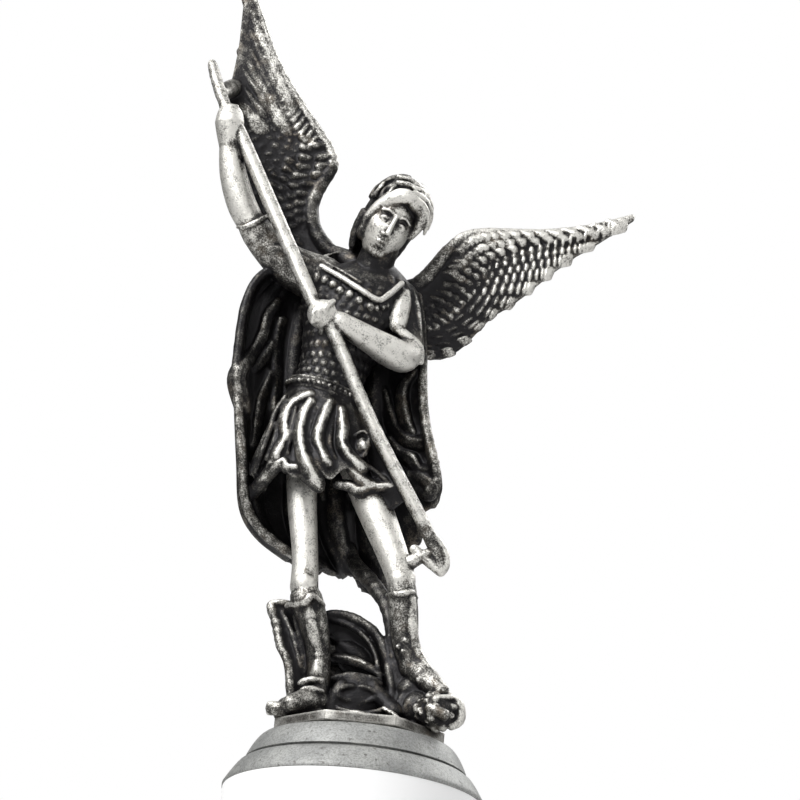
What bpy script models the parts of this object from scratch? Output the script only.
"""Archangel Michael statuette: a cast metal figure on an octagonal plate, and the turned base under it.

The figure, its wings, cloak, spear, the devil under its feet and the plate are one casting. It stands on a
separate round base. X is to the viewer's right, Y goes away from the viewer and Z is up. The origin is the
centre of the base's underside.
"""

import math

import bmesh
import bpy
from mathutils import Matrix, Vector

# Sizes in metres
FIGURE_HEIGHT = 0.073
PLATE_ACROSS_FLATS = 0.020
PLATE_THICKNESS = 0.0012
PLATE_SIDES = 8
PLATE_GAP = 0.0003
BASE_LEDGE = 0.0003
BASE_UPPER_SPREAD = 0.0021
BASE_UPPER_HEIGHT = 0.0030
BASE_GROOVE_DEPTH = 0.0004
BASE_GROOVE_HEIGHT = 0.0004
BASE_STEP = 0.0004
BASE_LOWER_SPREAD = 0.0019
BASE_LOWER_HEIGHT = 0.0027
BASE_RIM_HEIGHT = 0.0004
BASE_TURNING_STEPS = 40

# Casting mesh: grid that fuses the parts, and the triangles kept
CAST_GRID = 0.00030
SMOOTHING_STEPS = 2
CAST_TRIANGLES = 8800
# How deep the lowest parts of the casting are sunk in the plate
SINK = 0.0005

PLATE_CORNER_RADIUS = PLATE_ACROSS_FLATS / 2 / math.cos(math.pi / PLATE_SIDES)
BASE_HEIGHT = BASE_UPPER_HEIGHT + BASE_GROOVE_HEIGHT + BASE_LOWER_HEIGHT + BASE_RIM_HEIGHT
PLATE_BOTTOM = BASE_HEIGHT + PLATE_GAP
PLATE_TOP = PLATE_BOTTOM + PLATE_THICKNESS

# The free form's places are hundredths of the figure's height, measured up from the plate
UNIT = FIGURE_HEIGHT / 100
SKIRT_TOP = (-11.0, -0.7, 57.0)
SKIRT_HEM = (-10.2, -0.6, 41.0)


def place(x, y, z):
    """A point of the figure, from its units to metres."""
    return Vector((x * UNIT, y * UNIT, PLATE_TOP + z * UNIT))


def clear_scene():
    """Remove every object that the file opened with."""
    for obj in list(bpy.data.objects):
        bpy.data.objects.remove(obj, do_unlink=True)


def blend(a, b, t):
    """The value at share t between a and b, for numbers and for tuples of them."""
    if isinstance(a, (tuple, list)):
        return tuple(blend(p, q, t) for p, q in zip(a, b))
    return a + (b - a) * t


def ease(t):
    """A share from 0 to 1 with soft ends."""
    t = min(1.0, max(0.0, t))
    return t * t * (3 - 2 * t)


def along(points, t):
    """The point at share t of a smooth line through the given tuples."""
    last = len(points) - 1
    at = min(max(t, 0.0), 1.0) * last
    i = min(int(at), last - 1)
    u = at - i
    before, here, there, after = (points[min(max(k, 0), last)] for k in (i - 1, i, i + 1, i + 2))
    return tuple(
        0.5 * (2 * q + (r - p) * u + (2 * p - 5 * q + 4 * r - s) * u * u + (3 * q - p - 3 * r + s) * u ** 3)
        for p, q, r, s in zip(before, here, there, after))


def new_object(name, mesh, collection):
    """Put a mesh in the collection as an object."""
    obj = bpy.data.objects.new(name, mesh)
    collection.objects.link(obj)
    return obj


def limb(collection, points, sides=5):
    """A round limb with a smooth run and a radius at each (x, y, z, radius) point, in units."""
    curve = bpy.data.curves.new("limb", "CURVE")
    curve.dimensions = "3D"
    curve.bevel_depth = UNIT
    curve.bevel_resolution = sides
    curve.use_fill_caps = True
    steps = 5 * (len(points) - 1)
    spline = curve.splines.new("POLY")
    spline.points.add(steps)
    for i, point in enumerate(spline.points):
        x, y, z, radius = along(points, i / steps)
        point.co = (*place(x, y, z), 1.0)
        point.radius = radius
    tube = new_object("limb", curve, collection)
    evaluated = tube.evaluated_get(bpy.context.evaluated_depsgraph_get())
    mesh = bpy.data.meshes.new_from_object(evaluated)
    bpy.data.objects.remove(tube)
    body = new_object("limb", mesh, collection)
    return [body, ball(collection, points[0][:3], (points[0][3],) * 3),
            ball(collection, points[-1][:3], (points[-1][3],) * 3)]


def ball(collection, centre, radii, turn=None):
    """An ellipsoid with its centre and three radii in units, turned by a matrix if one is given."""
    mesh = bpy.data.meshes.new("ball")
    form = bmesh.new()
    bmesh.ops.create_uvsphere(form, u_segments=20, v_segments=14, radius=UNIT)
    size = Matrix.Diagonal((*radii, 1.0))
    turned = turn.to_4x4() if turn else Matrix.Identity(4)
    form.transform(Matrix.Translation(place(*centre)) @ turned @ size)
    form.to_mesh(mesh)
    form.free()
    return new_object("ball", mesh, collection)


def loft(collection, rings):
    """A closed body through rings of points in units, each with as many points, capped at both ends."""
    mesh = bpy.data.meshes.new("loft")
    form = bmesh.new()
    rows = [[form.verts.new(place(*point)) for point in ring] for ring in rings]
    count = len(rows[0])
    for low, high in zip(rows, rows[1:]):
        for i in range(count):
            j = (i + 1) % count
            form.faces.new((low[i], low[j], high[j], high[i]))
    form.faces.new(rows[0][::-1])
    form.faces.new(rows[-1])
    bmesh.ops.recalc_face_normals(form, faces=form.faces)
    form.to_mesh(mesh)
    form.free()
    return new_object("loft", mesh, collection)


def sheet(collection, rows, thickness):
    """A sheet through rows of points in units, thickened evenly to both sides."""
    mesh = bpy.data.meshes.new("sheet")
    form = bmesh.new()
    grid = [[form.verts.new(place(*point)) for point in row] for row in rows]
    for low, high in zip(grid, grid[1:]):
        for i in range(len(low) - 1):
            form.faces.new((low[i], low[i + 1], high[i + 1], high[i]))
    form.to_mesh(mesh)
    form.free()
    obj = new_object("sheet", mesh, collection)
    solid = obj.modifiers.new("thickness", "SOLIDIFY")
    solid.thickness = thickness * UNIT
    solid.offset = 0.0
    return obj


def oval(centre, half_width, half_depth, lean=0.0, sides=28, pleat=None):
    """A ring round a centre; lean raises its left side, and pleat adds to the radius by angle."""
    ring = []
    for i in range(sides):
        angle = 2 * math.pi * i / sides
        grow = 1.0 + (pleat(angle) if pleat else 0.0)
        x = half_width * grow * math.cos(angle)
        y = half_depth * grow * math.sin(angle)
        ring.append((centre[0] + x, centre[1] + y, centre[2] - lean * x))
    return ring


def torso(collection):
    """Chest and waist, wide at the shoulders, with the left shoulder raised."""
    # centre x, y, z, half width, half depth, how much the left side is raised
    levels = [
        (-4.6, 0.2, 81.6, 3.0, 2.6, 0.05),
        (-5.4, 0.2, 79.6, 6.4, 3.6, 0.10),
        (-6.6, 0.2, 77.3, 9.8, 4.8, 0.14),
        (-7.4, 0.0, 73.5, 9.0, 5.8, 0.12),
        (-8.3, -0.4, 69.0, 7.4, 5.8, 0.08),
        (-9.7, -0.6, 62.5, 5.8, 4.9, 0.10),
        (-11.0, -0.6, 57.5, 5.4, 4.7, 0.20),
        (-11.6, -0.4, 52.0, 6.4, 5.4, 0.20),
        (-11.0, 0.0, 46.0, 6.6, 5.2, 0.10),
    ]
    rings = []
    for i in range(24):
        x, y, z, wide, deep, lean = along(levels, i / 23)
        rings.append(oval((x, y, z), wide, deep, lean=lean))
    return [loft(collection, rings)]


def skirt_section(t):
    """Centre, half width and half depth of the skirt at share t of the way from belt to hem."""
    return blend(SKIRT_TOP, SKIRT_HEM, t), blend(5.7, 11.6, t ** 0.85), blend(4.9, 8.4, t ** 0.7)


def on_skirt(x, z, proud=0.0):
    """The point of the skirt's front at x and z, proud of it by so much, in units."""
    t = min(1.0, max(0.0, (SKIRT_TOP[2] - z) / (SKIRT_TOP[2] - SKIRT_HEM[2])))
    centre, wide, deep = skirt_section(t)
    across = min(0.97, abs(x - centre[0]) / wide)
    return (x, centre[1] - deep * math.sqrt(1 - across * across) - proud, z)


def tunic_skirt(collection):
    """The flared skirt, open below, with pleats that grow towards the hem, and the belt."""
    pleats = 9
    rings = []
    outer = 12
    for i in range(outer):
        t = i / (outer - 1)
        centre, wide, deep = skirt_section(t)
        depth = 0.015 + 0.065 * t

        def pleat(angle, depth=depth, t=t):
            return depth * math.cos(pleats * angle + 1.2 + 1.0 * t)

        ring = oval(centre, wide, deep, lean=0.20 * (1 - t), sides=54, pleat=pleat)
        wave = 1.2 * t
        rings.append([(x, y, z - wave * math.cos(pleats * math.atan2(y, x - centre[0]))) for x, y, z in ring])
    hem = rings[-1]
    for inward, rise in ((0.86, 0.6), (0.70, 6.0), (0.45, 9.0)):
        rings.append([(blend(SKIRT_HEM[0], x, inward), blend(SKIRT_HEM[1], y, inward), z + rise)
                      for x, y, z in hem])
    ring = oval(SKIRT_TOP, 5.9, 5.1, lean=0.24, sides=24)
    belt = [(*ring[i % 24], 0.8) for i in range(25)]
    return [loft(collection, rings)] + limb(collection, belt)


def skirt_folds(collection):
    """The raised folds on the front of the skirt, each from the belt towards the hem."""
    # x, z and radius of each point of each fold
    folds = [
        [(-13.2, 54.9, 0.7), (-16.2, 52.2, 1.0), (-17.0, 49.0, 1.2), (-16.8, 46.4, 1.2), (-18.4, 43.2, 1.4)],
        [(-12.4, 54.2, 0.7), (-14.2, 50.8, 1.1), (-14.6, 47.7, 1.2), (-13.6, 44.7, 1.2), (-11.2, 40.2, 1.5)],
        [(-10.5, 53.9, 0.7), (-11.1, 50.3, 1.0), (-10.9, 46.8, 1.1), (-9.2, 42.9, 1.2)],
        [(-7.7, 53.2, 0.7), (-7.6, 49.8, 1.0), (-7.2, 46.9, 1.1), (-5.6, 44.4, 1.2), (-3.4, 42.0, 1.4)],
        [(-5.4, 50.6, 0.6), (-4.6, 46.0, 1.1), (-2.4, 42.0, 1.3), (0.6, 40.2, 1.3)],
    ]
    made = []
    for fold in folds:
        made += limb(collection, [(*on_skirt(x, z, proud=0.3), radius) for x, z, radius in fold])
    # the oval bulge beside the spear
    made.append(ball(collection, on_skirt(-3.6, 46.6), (1.3, 1.2, 1.9)))
    return made


def legs(collection):
    """Bare thighs, boots with a raised top, and the feet."""
    made = []
    # right leg of the angel, on the viewer's left
    made += limb(collection, [(-13.9, -0.5, 48.0, 2.7), (-12.9, -2.0, 38.0, 2.4), (-11.5, -3.4, 28.3, 2.2),
                              (-11.1, -4.0, 22.5, 2.4)])
    made += limb(collection, [(-10.6, -4.2, 20.6, 2.7), (-9.0, -3.4, 16.7, 2.4), (-7.8, -2.8, 12.0, 2.0),
                              (-7.4, -2.8, 7.5, 2.0), (-7.6, -3.2, 4.5, 2.3)])
    made += limb(collection, [(-7.3, -3.0, 3.9, 2.4), (-9.3, -5.6, 3.0, 2.2), (-11.4, -7.6, 1.9, 1.5)])
    # left leg, stepping forward onto the devil's head
    made += limb(collection, [(-5.6, -0.5, 48.5, 3.4), (-1.6, -3.0, 38.9, 3.1), (2.4, -5.0, 30.0, 2.6),
                              (4.6, -5.8, 24.8, 2.3)])
    made += limb(collection, [(4.8, -6.0, 23.4, 2.3), (5.3, -5.2, 19.5, 2.5), (6.1, -4.6, 15.0, 2.2),
                              (7.5, -4.8, 11.2, 2.1)])
    made += limb(collection, [(7.6, -4.6, 10.8, 2.3), (9.9, -6.2, 8.6, 2.1), (12.3, -8.2, 6.2, 1.5)])
    # boot tops
    made += limb(collection, [(-13.2, -3.2, 19.8, 0.7), (-11.2, -6.6, 20.0, 0.8), (-9.2, -6.2, 20.9, 0.8),
                              (-7.8, -4.0, 20.4, 0.7)])
    made += limb(collection, [(2.5, -5.4, 22.6, 0.7), (4.0, -8.0, 22.9, 0.8), (6.2, -7.8, 22.9, 0.8),
                              (7.2, -5.4, 22.4, 0.7)])
    return made


def arms(collection):
    """The raised right arm with its hand round the spear, and the lowered left arm."""
    made = []
    made += limb(collection, [(-13.0, -0.2, 77.4, 4.2), (-18.8, -1.0, 79.3, 3.6), (-23.0, -2.0, 82.3, 3.0),
                              (-25.4, -2.6, 84.8, 2.6)])
    made += limb(collection, [(-25.0, -2.6, 84.4, 2.9), (-26.0, -2.8, 85.8, 2.9)])
    made += limb(collection, [(-25.6, -2.8, 85.0, 2.3), (-27.9, -3.3, 88.6, 2.5), (-29.9, -4.0, 93.8, 2.3),
                              (-31.0, -4.6, 99.2, 1.8)])
    made.append(ball(collection, (-31.4, -5.2, 102.8), (2.4, 2.3, 3.1)))
    # sleeve and lowered arm
    made += limb(collection, [(0.0, 0.6, 75.6, 3.2), (1.6, -0.4, 70.5, 2.8), (2.2, -2.0, 66.4, 2.6)])
    made += limb(collection, [(-0.6, -2.2, 77.0, 0.7), (0.2, -3.2, 71.0, 1.0), (-0.2, -4.0, 68.0, 0.9),
                              (1.8, -5.2, 65.6, 0.8), (4.2, -3.2, 64.2, 0.8)])
    made += limb(collection, [(2.2, -1.6, 66.4, 2.6), (1.5, -4.2, 63.8, 2.6), (-1.2, -6.0, 64.1, 2.6),
                              (-4.5, -7.6, 65.2, 2.2), (-9.6, -9.0, 67.2, 1.8)])
    made.append(ball(collection, (-12.5, -9.5, 68.1), (2.5, 2.3, 2.5)))
    return made


def head(collection):
    """Neck and head with a face of its own plain design, hair roll, locks and hair at the back."""
    made = []
    made += limb(collection, [(-5.0, 0.2, 77.5, 3.8), (-4.8, -1.0, 80.6, 3.2), (-3.8, -2.4, 83.8, 3.0)])
    made += limb(collection, [(-4.8, 1.6, 80.6, 2.6), (-8.4, 1.8, 81.8, 2.2), (-11.4, 2.4, 83.6, 1.4)])
    centre = (-2.6, -3.2, 88.2)
    turn = (Matrix.Rotation(math.radians(22), 3, "Y") @ Matrix.Rotation(math.radians(14), 3, "Z")
            @ Matrix.Rotation(math.radians(12), 3, "X"))

    def on_head(x, y, z):
        """A point of the head, in its own units with the face towards -Y, as a point of the figure."""
        offset = turn @ Vector((x, y, z))
        return (centre[0] + offset.x, centre[1] + offset.y, centre[2] + offset.z)

    def strand(points):
        return limb(collection, [(*on_head(x, y, z), radius) for x, y, z, radius in points])

    def lump(x, y, z, radii):
        made.append(ball(collection, on_head(x, y, z), radii, turn))

    lump(0, 0.6, 1.8, (4.4, 5.0, 5.0))
    lump(0, -0.9, -1.4, (3.7, 4.1, 6.1))
    # nose, chin, brows, cheeks
    made += strand([(0, -4.6, 1.4, 0.4), (0, -5.5, -1.5, 0.7)])
    lump(0, -3.6, -5.8, (1.4, 1.2, 1.1))
    for side in (-1, 1):
        made += strand([(side * 0.6, -4.6, 1.7, 0.4), (side * 2.6, -3.9, 1.8, 0.4)])
        lump(side * 1.9, -3.6, -1.6, (1.3, 1.0, 1.5))
    # hair: a thick roll over the forehead, falling at the sides, and a cap behind
    made += strand([(-4.5, 0.6, -3.4, 1.6), (-4.6, -1.4, 1.2, 1.6), (-3.0, -3.8, 4.0, 1.5),
                    (0, -4.5, 5.0, 1.5), (3.0, -3.6, 4.2, 1.5), (4.5, -1.2, 1.4, 1.4),
                    (4.4, 0.8, -2.4, 1.4)])
    lump(0, 2.0, 2.4, (4.9, 4.6, 5.8))
    for x in (-3.0, 0.0, 3.0):
        made += strand([(x, 3.4, 0.5, 2.6), (x * 0.9, 4.0, -5.4, 2.3)])
    for side in (-1, 1):
        for k in range(3):
            x = side * (1.2 + 1.3 * k)
            made += strand([(x * 0.5, -1.4, 6.9, 0.6), (x, -3.2 + 0.4 * k, 6.1, 0.9),
                            (x * 1.15, -4.2 + 0.9 * k, 4.6, 0.7)])
    return made


def collar(collection):
    """The band of the neckline, a V in front."""
    return limb(collection, [(-13.0, -3.4, 78.2, 0.6), (-8.6, -5.8, 75.4, 0.7), (-4.6, -6.6, 73.0, 0.8),
                             (-2.2, -5.6, 74.6, 0.7), (-0.2, -3.6, 76.9, 0.6)])


def cloak(collection):
    """The cloak: a deep open fold behind the body, from the shoulders to below the knees."""
    left_rim = [(-17.0, -1.2, 79.2), (-23.0, -2.0, 77.2), (-25.6, -3.0, 70.8), (-26.0, -3.5, 60.0),
                (-24.8, -3.5, 52.1), (-23.4, -3.0, 43.8), (-22.0, -1.5, 36.6), (-18.8, 0.0, 32.5),
                (-13.6, 1.0, 29.4)]
    right_rim = [(3.0, 2.0, 77.0), (3.8, 1.4, 73.0), (4.6, 0.0, 67.0), (5.2, -1.0, 60.0), (5.9, -1.4, 55.0),
                 (7.1, -1.5, 50.5), (8.4, -1.5, 46.4), (8.9, -1.2, 43.4), (7.8, -0.4, 42.4)]
    levels = 34
    columns = 56
    folds = 7
    rows = []
    for i in range(levels):
        t = i / (levels - 1)
        left = along(left_rim, t)
        right = along(right_rim, t)
        back = 5.4 + 2.6 * ease(t * 1.6) + 1.4 * t
        row = []
        for j in range(columns):
            s = j / (columns - 1)
            swing = 0.5 - 0.5 * math.cos(math.pi * s)
            x = blend(left[0], right[0], swing)
            y = blend(left[1], right[1], swing) + back * math.sin(math.pi * s) ** 0.8
            dip = 3.6 * t * t * math.exp(-((s - 0.64) / 0.11) ** 2)
            z = blend(left[2], right[2], ease((s - 0.6) / 0.4)) - dip
            depth = (0.25 + 1.35 * t) * math.sin(math.pi * s) ** 0.3
            wave = depth * math.sin(2 * math.pi * folds * s + 2.2 * t)
            row.append((x + wave * math.cos(math.pi * s), y + wave * math.sin(math.pi * s), z))
        rows.append(row)
    made = [sheet(collection, rows, 1.4)]
    made += limb(collection, [(*point, 0.85) for point in left_rim])
    made += limb(collection, [(*point, 0.75) for point in right_rim])
    # fold ridges that run down the inside of the open sides, each from one column of the sheet to another
    for top, bottom in ((5, 7), (9, 12), (14, 17), (49, 47), (46, 43), (52, 51)):
        ridge = []
        for i in range(3, levels, 5):
            x, y, z = rows[i][round(blend(top, bottom, i / (levels - 1)))]
            ridge.append((x, y - 0.4, z, 0.5 + 0.5 * math.sin(math.pi * i / (levels - 1))))
        made += limb(collection, ridge)
    # its end behind the left leg, down to the devil's wing
    made += limb(collection, [(-4.6, 8.0, 34.0, 0.9), (-3.2, 6.4, 30.4, 1.3), (-1.0, 3.4, 27.4, 1.4),
                              (0.8, 0.6, 24.6, 1.3), (2.5, -0.8, 21.6, 1.2), (3.7, -2.0, 17.6, 1.2),
                              (4.5, -3.0, 12.6, 1.2), (5.6, -3.6, 7.6, 1.2)])
    return made


def wing(collection, lead, trail, starts, feathers, rim_radius):
    """One wing: a membrane between its two edges, long feathers across it, rows of coverts and a thick rim.

    lead and trail run from root to tip, and starts is the line that the long feathers grow from.
    """
    rows = []
    columns = 9
    for i in range(24):
        t = i / 23
        front = along(lead, t)
        back = along(trail, t)
        rows.append([blend(front, back, j / (columns - 1)) for j in range(columns)])
    made = [sheet(collection, rows, 1.0)]
    for k in range(feathers):
        t = k / (feathers - 1)
        root = along(starts, t)
        tip = along(trail, 0.04 + 0.94 * t)
        made += limb(collection, [(*root, 0.8), (*blend(root, tip, 0.5), 1.2), (*blend(root, tip, 0.88), 1.1),
                                  (*blend(root, tip, 0.99), 0.7)])
    for row, share in enumerate((0.20, 0.48, 0.76)):
        count = 10 - row
        for k in range(count):
            t = 0.05 + 0.62 * k / (count - 1)
            point = blend(along(lead, t), along(starts, t), share)
            ahead = blend(along(lead, t + 0.05), along(starts, t + 0.05), share + 0.12)
            made += limb(collection, [(*point, 0.9), (*ahead, 1.15)])
    shares = [i / 12 for i in range(13)]
    made += limb(collection, [(*along(lead, t), blend(rim_radius, 0.5, t ** 1.5)) for t in shares])
    return made


def wings(collection):
    """The raised wing on the left and the spread wing on the right."""
    left = wing(
        collection,
        lead=[(-8.6, 2.6, 81.4), (-11.6, 3.0, 83.4), (-14.2, 3.2, 85.8), (-16.0, 3.4, 89.0),
              (-16.4, 3.4, 92.5), (-15.2, 3.2, 96.3), (-13.7, 3.0, 99.3), (-14.2, 3.0, 102.4),
              (-17.8, 2.8, 107.2), (-21.5, 2.6, 112.4), (-25.1, 2.4, 118.0), (-27.6, 2.2, 123.9),
              (-30.6, 2.0, 131.2)],
        trail=[(-19.0, 3.2, 78.6), (-23.0, 3.4, 81.4), (-26.5, 3.4, 85.4), (-29.0, 3.2, 91.0),
               (-30.6, 3.0, 97.3), (-31.8, 2.8, 104.5), (-32.3, 2.6, 111.6), (-31.9, 2.4, 116.3),
               (-31.6, 2.3, 120.3), (-31.6, 2.2, 125.0), (-31.6, 2.0, 130.6)],
        starts=[(-14.0, 3.2, 82.6), (-18.4, 3.2, 89.5), (-18.8, 3.1, 94.9), (-18.2, 3.0, 99.6),
                (-19.8, 2.8, 104.6)],
        feathers=10, rim_radius=1.5)
    right = wing(
        collection,
        lead=[(-2.0, 3.0, 78.0), (0.6, 3.0, 78.6), (2.6, 3.3, 79.6), (4.6, 3.8, 82.0), (6.6, 4.3, 85.4),
              (8.7, 4.9, 88.4), (11.2, 5.5, 90.5), (16.1, 6.2, 91.6), (23.7, 7.4, 92.8), (31.9, 8.6, 95.2),
              (38.5, 9.6, 98.2)],
        trail=[(2.0, 3.8, 67.6), (4.9, 4.0, 67.0), (8.2, 4.2, 67.2), (11.2, 4.6, 69.6), (13.6, 5.0, 72.8),
               (16.0, 5.4, 76.0), (19.2, 5.8, 78.7), (22.5, 6.4, 82.2), (25.8, 7.2, 85.8), (29.2, 8.0, 89.2),
               (33.3, 8.8, 92.6), (38.9, 9.6, 97.6)],
        starts=[(1.0, 3.6, 73.2), (5.4, 4.2, 74.6), (9.9, 4.8, 77.5), (13.2, 5.4, 81.7), (16.0, 6.0, 86.4)],
        feathers=10, rim_radius=1.6)
    return left + right


def spear(collection):
    """The spear, bent at its top end, with a barbed head and the cast webs that hold it."""
    made = []
    made += limb(collection, [(-35.4, -4.6, 113.2, 0.85), (-34.6, -4.8, 110.8, 1.0),
                              (-32.9, -5.1, 106.6, 1.05), (-31.0, -5.4, 102.6, 1.1)])
    made += limb(collection, [(-31.0, -5.4, 102.6, 1.1), (-28.4, -5.8, 98.4, 1.15), (-14.8, -9.0, 71.3, 1.15),
                              (-10.4, -9.3, 65.2, 1.15), (-2.4, -8.6, 49.8, 1.15), (7.4, -7.3, 34.0, 1.15),
                              (10.8, -7.0, 27.2, 0.9)])
    made += limb(collection, [(8.6, -7.2, 32.6, 0.9), (10.9, -7.0, 30.2, 0.75), (11.5, -7.0, 28.0, 0.7),
                              (11.0, -7.0, 26.6, 0.8)])
    made += limb(collection, [(6.2, -7.0, 29.9, 0.8), (8.6, -7.0, 28.0, 0.9), (10.8, -7.0, 26.4, 0.8)])
    # webs: head to boot, shaft to thigh, top end to wing
    made += limb(collection, [(8.2, -7.0, 29.2, 0.9), (6.2, -6.6, 28.0, 1.2), (4.4, -5.8, 27.0, 1.4)])
    shaft = [(-2.4, -8.0, 49.8), (1.0, -7.6, 44.4), (4.6, -7.2, 38.6)]
    thigh = [(-4.4, -2.4, 45.0), (-2.2, -3.6, 41.0), (0.4, -4.6, 35.6)]
    made.append(sheet(collection, [[blend(along(shaft, i / 6), along(thigh, i / 6), j / 6) for j in range(7)]
                                   for i in range(7)], 1.3))
    made += limb(collection, [(-33.2, -5.0, 107.6, 1.1), (-32.6, -1.0, 110.2, 1.5), (-31.8, 2.4, 112.2, 1.6)])
    return made


def devil(collection):
    """The beaten devil under the feet: a low body, a coiled tail, two torn wings, a head and a hand."""
    made = []
    made += limb(collection, [(-11.5, -1.5, 2.2, 2.6), (-6.0, 1.0, 3.4, 3.4), (0.5, 0.2, 4.0, 3.6),
                              (6.5, -2.2, 4.2, 3.6), (9.8, -5.2, 3.4, 3.2)])
    made.append(ball(collection, (12.0, -8.0, 2.6), (3.5, 3.1, 3.2)))
    made += limb(collection, [(11.0, -10.4, 2.6, 1.0), (13.2, -11.0, 1.6, 1.1)])
    made += limb(collection, [(14.2, -8.2, 4.8, 1.0), (15.6, -8.4, 3.2, 0.7)])
    # hand and arm on the left
    made += limb(collection, [(-7.0, -4.5, 1.4, 1.5), (-12.0, -6.2, 1.2, 1.3), (-14.2, -6.0, 1.4, 1.3)])
    # coiled tail between the legs
    made += limb(collection, [(-4.6, -4.0, 2.6, 1.4), (-3.8, -4.8, 6.2, 1.3), (-0.6, -5.0, 8.8, 1.3),
                              (2.4, -4.8, 8.0, 1.3), (3.4, -5.2, 4.6, 1.3), (5.4, -6.4, 2.6, 1.3)])
    # middle wing: a hollow flap with a bright rim and ribs
    rim = [(-8.6, 0.6, 14.4), (-7.2, 0.0, 19.0), (-4.8, -0.4, 19.6), (-2.0, -1.0, 18.8), (0.8, -1.6, 17.0),
           (2.8, -2.6, 14.0), (4.0, -3.6, 9.8), (5.0, -4.6, 4.6)]
    foot = [(-8.0, 3.6, 2.0), (-5.6, 3.6, 3.0), (-3.0, 3.4, 4.0), (-0.5, 2.8, 4.0), (1.6, 1.6, 3.6),
            (3.4, 0.0, 3.0), (5.4, -2.6, 2.0)]
    rows = []
    for i in range(16):
        t = i / 15
        high = along(rim, t)
        low = along(foot, t)
        rows.append([(*blend(high[:1], low[:1], s), blend(high[1], low[1], s) + 2.2 * math.sin(math.pi * s),
                      blend(high[2], low[2], s)) for s in (j / 7 for j in range(8))])
    made.append(sheet(collection, rows, 1.4))
    made += limb(collection, [(*point, 0.85) for point in rim])
    for k in range(4):
        high = along(rim, 0.22 + 0.18 * k)
        low = along(foot, 0.15 + 0.2 * k)
        middle = blend(high, low, 0.5)
        made += limb(collection, [(*high, 0.7), (middle[0], middle[1] + 1.4, middle[2], 0.8), (*low, 0.8)])
    # left wing flap, standing up by the boot
    rows = []
    outer = [(-16.2, -1.6, 19.6), (-15.0, -2.0, 16.4), (-14.0, -2.4, 13.0), (-12.4, -3.0, 9.6),
             (-11.4, -3.4, 4.0)]
    inner = [(-13.2, -1.0, 20.2), (-11.0, -1.0, 17.0), (-9.6, -1.4, 12.8), (-8.8, -1.4, 8.0),
             (-8.0, -1.6, 3.0)]
    for i in range(12):
        t = i / 11
        rows.append([blend(along(outer, t), along(inner, t), s / 4) for s in range(5)])
    made.append(sheet(collection, rows, 1.4))
    made += limb(collection, [(*point, 0.9) for point in outer])
    made += limb(collection, [(*point, 0.7) for point in inner])
    return made


def fuse(name, pieces, collection):
    """Join overlapping pieces to one closed skin, thin its triangles and keep the one outer body."""
    graph = bpy.context.evaluated_depsgraph_get()
    form = bmesh.new()
    for piece in pieces:
        mesh = bpy.data.meshes.new_from_object(piece.evaluated_get(graph))
        form.from_mesh(mesh)
        bpy.data.meshes.remove(mesh)
        bpy.data.objects.remove(piece)
    mesh = bpy.data.meshes.new(name)
    form.to_mesh(mesh)
    form.free()
    obj = new_object(name, mesh, collection)
    skin = obj.modifiers.new("skin", "REMESH")
    skin.mode = "VOXEL"
    skin.voxel_size = CAST_GRID
    skin.adaptivity = 0.0
    soften = obj.modifiers.new("soften", "SMOOTH")
    soften.factor = 0.5
    soften.iterations = SMOOTHING_STEPS
    keep_modifiers_result(obj)
    keep_outer_body(obj)
    thin = obj.modifiers.new("thin", "DECIMATE")
    thin.ratio = CAST_TRIANGLES / (2 * len(obj.data.polygons))
    thin.use_collapse_triangulate = True
    keep_modifiers_result(obj)
    return obj


def keep_modifiers_result(obj):
    """Replace an object's mesh by what its modifiers make of it."""
    graph = bpy.context.evaluated_depsgraph_get()
    mesh = bpy.data.meshes.new_from_object(obj.evaluated_get(graph))
    obj.modifiers.clear()
    obj.data = mesh


def keep_outer_body(obj):
    """Remove all but the largest connected skin."""
    form = bmesh.new()
    form.from_mesh(obj.data)
    left = set(form.verts)
    bodies = []
    while left:
        stack = [left.pop()]
        body = set(stack)
        while stack:
            for edge in stack.pop().link_edges:
                for vert in edge.verts:
                    if vert in left:
                        left.discard(vert)
                        body.add(vert)
                        stack.append(vert)
        bodies.append(body)
    outer = max(bodies, key=len)
    bmesh.ops.delete(form, geom=[vert for vert in form.verts if vert not in outer], context="VERTS")
    form.to_mesh(obj.data)
    form.free()


def plate(collection):
    """The octagonal plate, flats to the front, back and sides."""
    bpy.ops.mesh.primitive_cylinder_add(
        vertices=PLATE_SIDES, radius=PLATE_CORNER_RADIUS, depth=PLATE_THICKNESS,
        location=(0, 0, PLATE_BOTTOM + PLATE_THICKNESS / 2), rotation=(0, 0, math.pi / PLATE_SIDES))
    obj = bpy.context.active_object
    for owner in list(obj.users_collection):
        owner.objects.unlink(obj)
    collection.objects.link(obj)
    obj.name = "plate"
    return obj


def casting(collection, cutters):
    """The whole casting: every form of the group fused to one skin, cut level and joined to its plate."""
    pieces = []
    for part in (torso, tunic_skirt, skirt_folds, legs, arms, head, collar, cloak, wings, spear, devil):
        pieces += part(collection)
    figure = fuse("archangel_figure", pieces, collection)
    below = bpy.data.meshes.new("below")
    form = bmesh.new()
    bmesh.ops.create_cube(form, size=1.0)
    reach = FIGURE_HEIGHT
    size = Matrix.Diagonal((reach, reach, reach, 1))
    form.transform(Matrix.Translation((0, 0, PLATE_TOP - SINK - reach / 2)) @ size)
    form.to_mesh(below)
    form.free()
    cutter = new_object("below_plate", below, cutters)
    cutter.hide_render = True
    cutter.display_type = "WIRE"
    cut = figure.modifiers.new("level", "BOOLEAN")
    cut.operation = "DIFFERENCE"
    cut.object = cutter
    under = plate(cutters)
    under.hide_render = True
    under.display_type = "WIRE"
    join = figure.modifiers.new("plate", "BOOLEAN")
    join.operation = "UNION"
    join.object = under
    return figure


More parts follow.
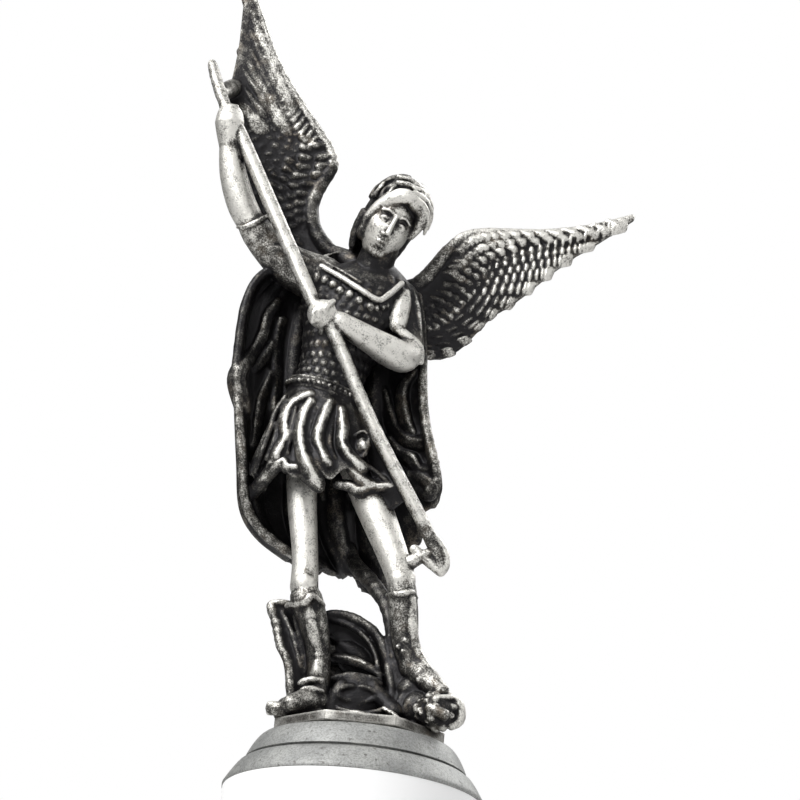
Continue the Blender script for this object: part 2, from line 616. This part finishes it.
def round_base(collection):
    """The turned base: a convex upper tier, a groove, and a wider lower tier with a rim."""
    top_radius = PLATE_CORNER_RADIUS + BASE_LEDGE
    upper_radius = top_radius + BASE_UPPER_SPREAD
    lower_top_radius = upper_radius + BASE_STEP
    bottom_radius = lower_top_radius + BASE_LOWER_SPREAD
    upper_foot = BASE_HEIGHT - BASE_UPPER_HEIGHT
    lower_top = upper_foot - BASE_GROOVE_HEIGHT
    profile = [(0.0, BASE_HEIGHT)]
    arc_steps = 5
    for i in range(arc_steps + 1):
        share = i / arc_steps
        profile.append((blend(top_radius, upper_radius, share ** 0.75),
                        BASE_HEIGHT - BASE_UPPER_HEIGHT * share ** 1.25))
    profile.append((upper_radius - BASE_GROOVE_DEPTH, upper_foot))
    profile.append((upper_radius - BASE_GROOVE_DEPTH, lower_top))
    profile.append((lower_top_radius, lower_top))
    for i in range(1, 4):
        share = i / 3
        profile.append((blend(lower_top_radius, bottom_radius, share ** 0.9),
                        lower_top - BASE_LOWER_HEIGHT * share ** 1.1))
    profile.append((bottom_radius, 0.0))
    profile.append((0.0, 0.0))
    mesh = bpy.data.meshes.new("round_base")
    form = bmesh.new()
    verts = [form.verts.new((x, 0, z)) for x, z in profile]
    for a, b in zip(verts, verts[1:]):
        form.edges.new((a, b))
    form.to_mesh(mesh)
    form.free()
    obj = new_object("round_base", mesh, collection)
    turn = obj.modifiers.new("turning", "SCREW")
    turn.steps = BASE_TURNING_STEPS
    turn.render_steps = BASE_TURNING_STEPS
    turn.use_merge_vertices = True
    turn.merge_threshold = 0.00001
    return obj


def metal(name, colour, roughness):
    """A plain metal for one piece."""
    material = bpy.data.materials.new(name)
    material.use_nodes = True
    shader = material.node_tree.nodes["Principled BSDF"]
    shader.inputs["Base Color"].default_value = (*colour, 1.0)
    shader.inputs["Metallic"].default_value = 1.0
    shader.inputs["Roughness"].default_value = roughness
    return material


def main():
    """Build the casting and its base."""
    clear_scene()
    collection = bpy.data.collections.new("archangel_michael_statue")
    cutters = bpy.data.collections.new("cutters")
    bpy.context.scene.collection.children.link(collection)
    bpy.context.scene.collection.children.link(cutters)
    figure = casting(collection, cutters)
    figure.data.materials.append(metal("antique_pewter", (0.30, 0.29, 0.28), 0.38))
    base = round_base(collection)
    base.data.materials.append(metal("satin_grey_metal", (0.56, 0.56, 0.55), 0.45))


if __name__ == "__main__":
    main()
